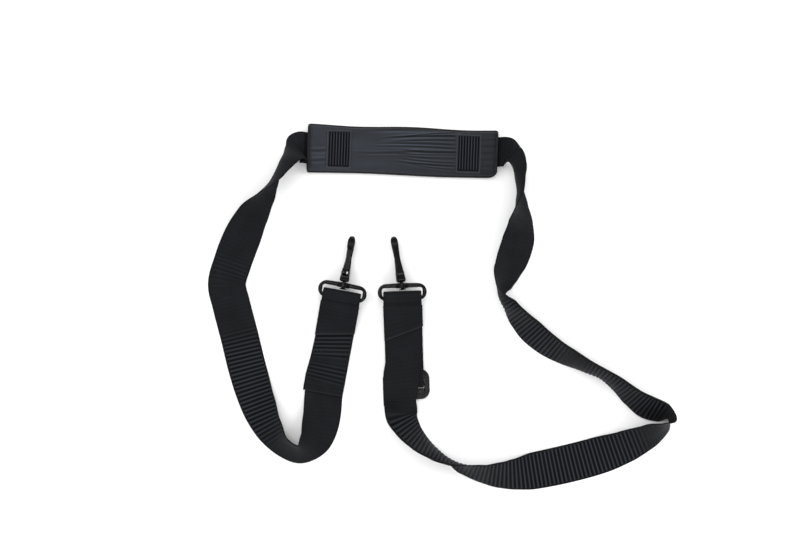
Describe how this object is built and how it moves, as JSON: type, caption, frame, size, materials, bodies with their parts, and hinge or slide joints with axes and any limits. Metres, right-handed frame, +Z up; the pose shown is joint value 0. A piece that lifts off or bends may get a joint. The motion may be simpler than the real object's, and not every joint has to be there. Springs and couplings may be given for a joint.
{
  "type": "padded shoulder strap",
  "caption": "Black webbing shoulder strap laid out flat, with a sliding shoulder pad, a length slider and a ringed swivel snap hook at each end.",
  "frame": {"origin": "on the table, under the middle of the laid-out strap's box", "axes": "+Z up off the table, +X along the pad from the left hook's side to the right hook's side, +Y from the lower strands towards the pad"},
  "size_m": [0.4624, 0.3666, 0.0384],
  "materials": {
    "webbing": "ribbed nylon webbing, matt black",
    "pad_fabric": "coated woven cover, blue-black, soft sheen",
    "pad_foam": "closed-cell foam",
    "black_metal": "gloss black coating on die-cast metal",
    "slider_plastic": "moulded black plastic, satin",
    "bright_steel": "plain steel"
  },
  "bodies": {
    "strap": {"pad_webbing": "webbing", "left_webbing": "webbing", "right_webbing": "webbing", "left_end_loop": "webbing", "left_end_patch": "webbing", "right_front_leg": "webbing", "right_back_leg": "webbing", "right_end_patch": "webbing"},
    "pad": {"pad_cover": "pad_fabric", "pad_backing": "pad_fabric", "pad_foam": "pad_foam"},
    "slider": {"slider": "slider_plastic"},
    "left_ring": {"left_ring": "black_metal"},
    "left_hook": {"left_hook": "black_metal", "left_swivel_stem": "black_metal", "left_gate_pin": "bright_steel"},
    "left_gate": {"left_gate": "black_metal", "left_gate_spring": "bright_steel"},
    "right_ring": {"right_ring": "black_metal"},
    "right_hook": {"right_hook": "black_metal", "right_swivel_stem": "black_metal", "right_gate_pin": "bright_steel"},
    "right_gate": {"right_gate": "black_metal", "right_gate_spring": "bright_steel"}
  },
  "joints": [
    {"name": "pad_slide", "type": "slide", "parent": "strap", "child": "pad", "axis": [0.9994, -0.0349, 0], "range_m": [-0.002, 0.002]},
    {"name": "slider_slide", "type": "slide", "parent": "strap", "child": "slider", "axis": [-0.0349, 0.9994, 0], "range_m": [0, 0.02], "deforming": ["right_back_leg"]},
    {"name": "left_ring_swing", "type": "hinge", "parent": "strap", "child": "left_ring", "pos_m": [-0.09765, 0.00885, 0.0104], "axis": [0.9833, -0.1822, 0], "range_deg": [-70, 70]},
    {"name": "left_hook_swivel", "type": "hinge", "parent": "left_ring", "child": "left_hook", "pos_m": [-0.0953, 0.02153, 0.0104], "axis": [0.1822, 0.9833, 0], "continuous": true},
    {"name": "left_gate_open", "type": "hinge", "parent": "left_hook", "child": "left_gate", "pos_m": [-0.09301, 0.03392, 0.0168], "axis": [-0.9833, 0.1822, 0], "range_deg": [0, 13], "stiffness_Nm_per_rad": 0.08, "springref_deg": -8.59},
    {"name": "right_ring_swing", "type": "hinge", "parent": "strap", "child": "right_ring", "pos_m": [-0.03675, 0.00814, 0.0104], "axis": [0.9994, 0.0349, 0], "range_deg": [-70, 70]},
    {"name": "right_hook_swivel", "type": "hinge", "parent": "right_ring", "child": "right_hook", "pos_m": [-0.0372, 0.02103, 0.0104], "axis": [-0.1736, 0.9848, 0], "continuous": true},
    {"name": "right_gate_open", "type": "hinge", "parent": "right_hook", "child": "right_gate", "pos_m": [-0.03939, 0.03344, 0.004], "axis": [0.9848, 0.1736, 0], "range_deg": [0, 13], "stiffness_Nm_per_rad": 0.08, "springref_deg": -8.59}
  ]
}
